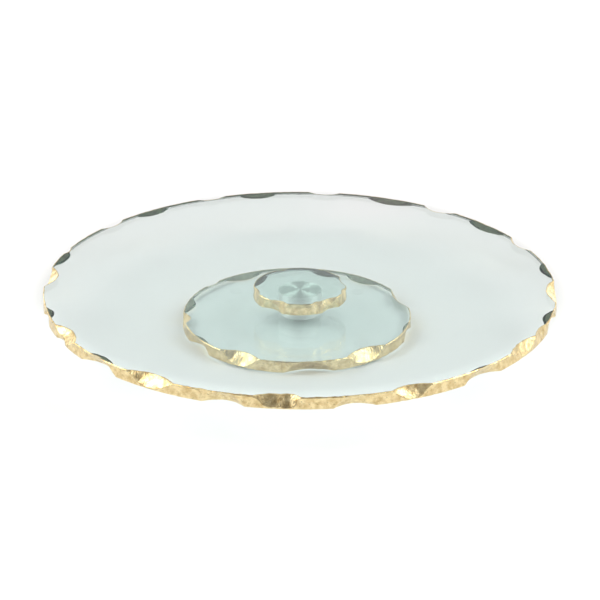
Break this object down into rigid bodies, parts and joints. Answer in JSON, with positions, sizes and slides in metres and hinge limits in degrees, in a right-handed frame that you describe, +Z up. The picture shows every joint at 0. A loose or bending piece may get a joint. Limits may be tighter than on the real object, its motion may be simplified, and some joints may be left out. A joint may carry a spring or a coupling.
{
  "type": "revolving cake stand",
  "caption": "Low revolving cake stand of clear glass discs with hand-chipped gold-leaf edges, turning on a bare aluminium ball-bearing swivel.",
  "frame": {"origin": "on the spin axis, at the surface that the feet rest on", "axes": "+Z up along the spin axis; +X to the right and +Y away from the viewer of the stand's front"},
  "size_m": [0.3566, 0.3566, 0.0378],
  "materials": {
    "clear_glass": "polished clear float glass with a faint green body colour",
    "gold_leaf": "gold leaf laid over hand-chipped glass, crinkled and bright",
    "turned_aluminium": "lathe-turned, bare",
    "bearing_steel": "ground and polished",
    "stamped_steel": "stamped",
    "nylon": "natural moulded nylon",
    "clear_adhesive": "cured clear bonding adhesive",
    "clear_rubber": "clear soft bumper"
  },
  "bodies": {
    "base": {"base_disc": "clear_glass", "base_disc_gold_edge": "gold_leaf", "base_bond": "clear_adhesive", "swivel_base": "turned_aluminium", "retaining_ring": "stamped_steel", "bearing_inner_ring": "bearing_steel", "bumper_foot_1": "clear_rubber", "bumper_foot_2": "clear_rubber", "bumper_foot_3": "clear_rubber", "bumper_foot_4": "clear_rubber"},
    "turntable": {"top_plate": "clear_glass", "top_plate_gold_edge": "gold_leaf", "plate_bond": "clear_adhesive", "riser_disc": "clear_glass", "riser_disc_gold_edge": "gold_leaf", "riser_bond": "clear_adhesive", "swivel_cap": "turned_aluminium", "bearing_outer_ring": "bearing_steel", "bearing_shield_upper": "stamped_steel", "bearing_shield_lower": "stamped_steel"},
    "ball_cage": {"bearing_cage": "nylon", "bearing_ball_1": "bearing_steel", "bearing_ball_2": "bearing_steel", "bearing_ball_3": "bearing_steel", "bearing_ball_4": "bearing_steel", "bearing_ball_5": "bearing_steel", "bearing_ball_6": "bearing_steel", "bearing_ball_7": "bearing_steel"}
  },
  "joints": [
    {"name": "plate_spin", "type": "hinge", "parent": "base", "child": "turntable", "pos_m": [0, 0, 0.0152], "axis": [0, 0, 1], "continuous": true},
    {"name": "cage_spin", "type": "hinge", "parent": "base", "child": "ball_cage", "pos_m": [0, 0, 0.0152], "axis": [0, 0, 1], "continuous": true}
  ],
  "couplings": [
    {"joint": "cage_spin", "follows": "plate_spin", "ratio": 0.6111}
  ]
}
